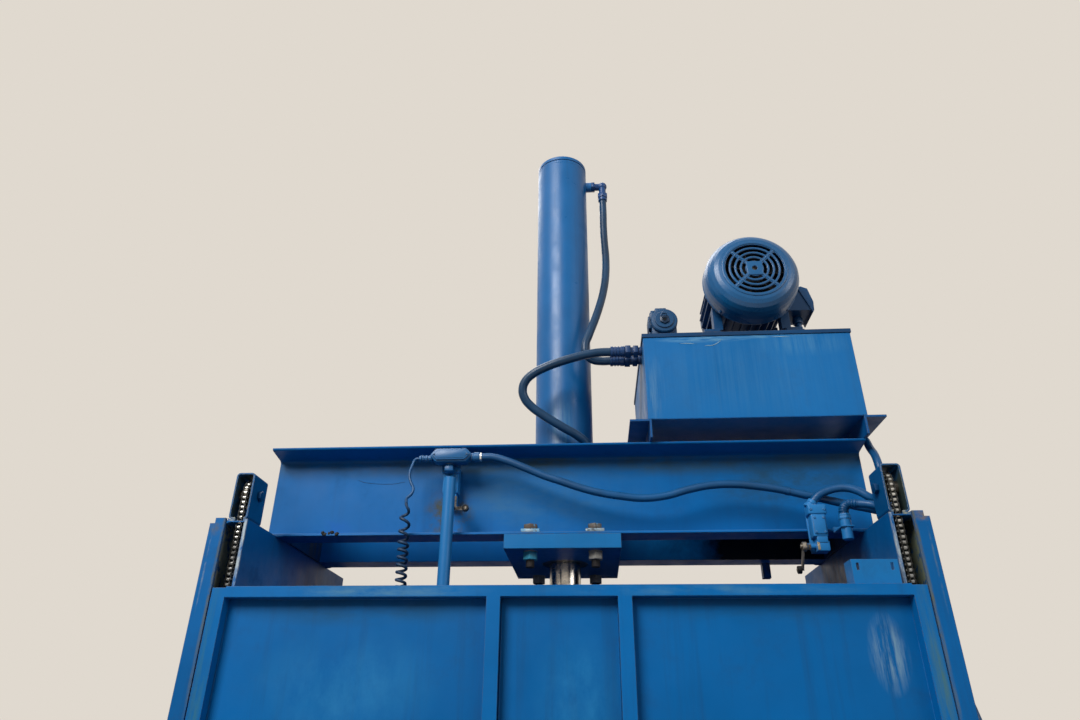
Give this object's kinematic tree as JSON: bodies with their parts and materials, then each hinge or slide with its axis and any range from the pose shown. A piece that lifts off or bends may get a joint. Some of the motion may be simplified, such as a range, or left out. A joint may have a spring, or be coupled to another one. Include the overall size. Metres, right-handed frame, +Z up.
{
  "type": "vertical baler",
  "caption": "Vertical down-stroke baler: steel chamber, chain-hung sliding gate, cross beams with a hydraulic ram, and an oil tank with electric motor on top.",
  "frame": {"origin": "centre of the four floor anchor holes, at floor level, straight under the ram's axis", "axes": "+X to the right seen from the front, +Y to the back, +Z up along the ram's axis"},
  "size_m": [2.098, 0.875, 3.609],
  "materials": {
    "blue_paint": "gloss paint, worn and dusty",
    "bare_bolts": "dull, lightly rusted",
    "bare_steel": "plain machined",
    "fitting_steel": "overpainted",
    "hose_rubber": "overpainted rubber",
    "pump_iron": "painted casting",
    "chain_steel": "greasy",
    "conduit_metal": "overpainted casting",
    "conduit_cover": "overpainted sleeve",
    "cord_rubber": "matt",
    "chrome": "polished, oily",
    "wear_plastic": "matt",
    "wheel_steel": "greasy",
    "weight_steel": "painted bar",
    "fan_plastic": "matt",
    "green_plastic": "gloss",
    "red_plastic": "gloss"
  },
  "bodies": {
    "frame": {"base_frame": "blue_paint", "floor_plate": "blue_paint", "side_wall_left": "blue_paint", "side_wall_right": "blue_paint", "rear_wall": "blue_paint", "post_left": "blue_paint", "post_right": "blue_paint", "feed_sill": "blue_paint", "beam_front": "blue_paint", "beam_rear": "blue_paint", "mount_plate": "blue_paint", "mount_bolts": "bare_bolts", "cylinder_barrel": "blue_paint", "cylinder_cap": "blue_paint", "rod_gland": "bare_steel", "hose_fittings": "fitting_steel", "hose_top": "hose_rubber", "hose_bottom": "hose_rubber", "oil_tank": "blue_paint", "tank_lid": "blue_paint", "tank_rails": "blue_paint", "valve_body": "blue_paint", "motor_body": "blue_paint", "motor_cowl": "blue_paint", "terminal_box": "blue_paint", "hydraulic_pump": "pump_iron", "sprocket_box_left": "blue_paint", "sprocket_box_right": "blue_paint", "sprocket_axles": "blue_paint", "chain_left": "chain_steel", "chain_right": "chain_steel", "limit_switch_left": "blue_paint", "conduit_body": "conduit_metal", "limit_switch_right": "blue_paint", "gate_sensor": "blue_paint", "conduit_long": "conduit_cover", "conduit_branches": "conduit_cover", "curly_cord": "cord_rubber", "control_box": "blue_paint"},
    "ram": {"piston_rod": "chrome", "piston": "bare_steel", "platen": "blue_paint", "platen_shoes": "wear_plastic", "trip_tube": "blue_paint"},
    "gate": {"gate_frame": "blue_paint", "gate_panel": "blue_paint", "gate_flag": "blue_paint"},
    "left_chain_wheel": {"sprocket_left": "wheel_steel"},
    "right_chain_wheel": {"sprocket_right": "wheel_steel"},
    "left_counterweight": {"counterweight_left": "weight_steel"},
    "right_counterweight": {"counterweight_right": "weight_steel"},
    "rotor": {"motor_shaft": "bare_steel", "motor_fan": "fan_plastic"},
    "left_switch_lever": {"lever_left": "bare_steel"},
    "right_switch_lever": {"lever_right": "bare_steel"},
    "bale_door": {"chamber_door": "blue_paint"},
    "latch": {"door_latch": "bare_steel"},
    "cabinet_door": {"control_door": "blue_paint"},
    "start_push": {"start_button": "green_plastic"},
    "stop_push": {"stop_button": "red_plastic"}
  },
  "joints": [
    {"name": "ram_slide", "type": "slide", "parent": "frame", "child": "ram", "axis": [0, 0, -1], "range_m": [0, 1.2], "deforming": ["curly_cord"]},
    {"name": "gate_slide", "type": "slide", "parent": "frame", "child": "gate", "axis": [0, 0, -1], "range_m": [0, 0.762], "deforming": ["chain_left", "chain_right"]},
    {"name": "left_chain_wheel_turn", "type": "hinge", "parent": "frame", "child": "left_chain_wheel", "pos_m": [-0.801, -0.342, 2.25], "axis": [1, 0, 0], "range_deg": [0, 1271]},
    {"name": "right_chain_wheel_turn", "type": "hinge", "parent": "frame", "child": "right_chain_wheel", "pos_m": [0.801, -0.342, 2.25], "axis": [1, 0, 0], "range_deg": [0, 1271]},
    {"name": "left_counterweight_slide", "type": "slide", "parent": "frame", "child": "left_counterweight", "axis": [0, 0, 1], "range_m": [0, 0.762]},
    {"name": "right_counterweight_slide", "type": "slide", "parent": "frame", "child": "right_counterweight", "axis": [0, 0, 1], "range_m": [0, 0.762]},
    {"name": "rotor_turn", "type": "hinge", "parent": "frame", "child": "rotor", "pos_m": [0.6, 0, 2.991], "axis": [0, 1, 0], "continuous": true},
    {"name": "left_lever_turn", "type": "hinge", "parent": "frame", "child": "left_switch_lever", "pos_m": [-0.306, -0.2, 2.284], "axis": [0, 1, 0], "range_deg": [-25, 25], "stiffness_Nm_per_rad": 0.5},
    {"name": "right_lever_turn", "type": "hinge", "parent": "frame", "child": "right_switch_lever", "pos_m": [0.612, -0.228, 2.136], "axis": [1, 0, 0], "range_deg": [-25, 25], "stiffness_Nm_per_rad": 0.8},
    {"name": "bale_door_swing", "type": "hinge", "parent": "frame", "child": "bale_door", "pos_m": [-0.764, -0.374, 0.62], "axis": [0, 0, 1], "range_deg": [-90, 0]},
    {"name": "latch_turn", "type": "hinge", "parent": "bale_door", "child": "latch", "pos_m": [0.7, -0.38, 0.33], "axis": [0, -1, 0], "range_deg": [0, 90]},
    {"name": "cabinet_door_swing", "type": "hinge", "parent": "frame", "child": "cabinet_door", "pos_m": [1.151, -0.398, 1.39], "axis": [0, 0, 1], "range_deg": [0, 110]},
    {"name": "start_press", "type": "slide", "parent": "cabinet_door", "child": "start_push", "axis": [0, 1, 0], "range_m": [0, 0.005], "stiffness_N_per_m": 400},
    {"name": "stop_press", "type": "slide", "parent": "cabinet_door", "child": "stop_push", "axis": [0, 1, 0], "range_m": [0, 0.006], "stiffness_N_per_m": 500}
  ],
  "couplings": [
    {"joint": "left_chain_wheel_turn", "follows": "gate_slide", "rad_per_m": 29.102},
    {"joint": "right_chain_wheel_turn", "follows": "gate_slide", "rad_per_m": 29.102},
    {"joint": "left_counterweight_slide", "follows": "gate_slide", "ratio": 1},
    {"joint": "right_counterweight_slide", "follows": "gate_slide", "ratio": 1}
  ]
}
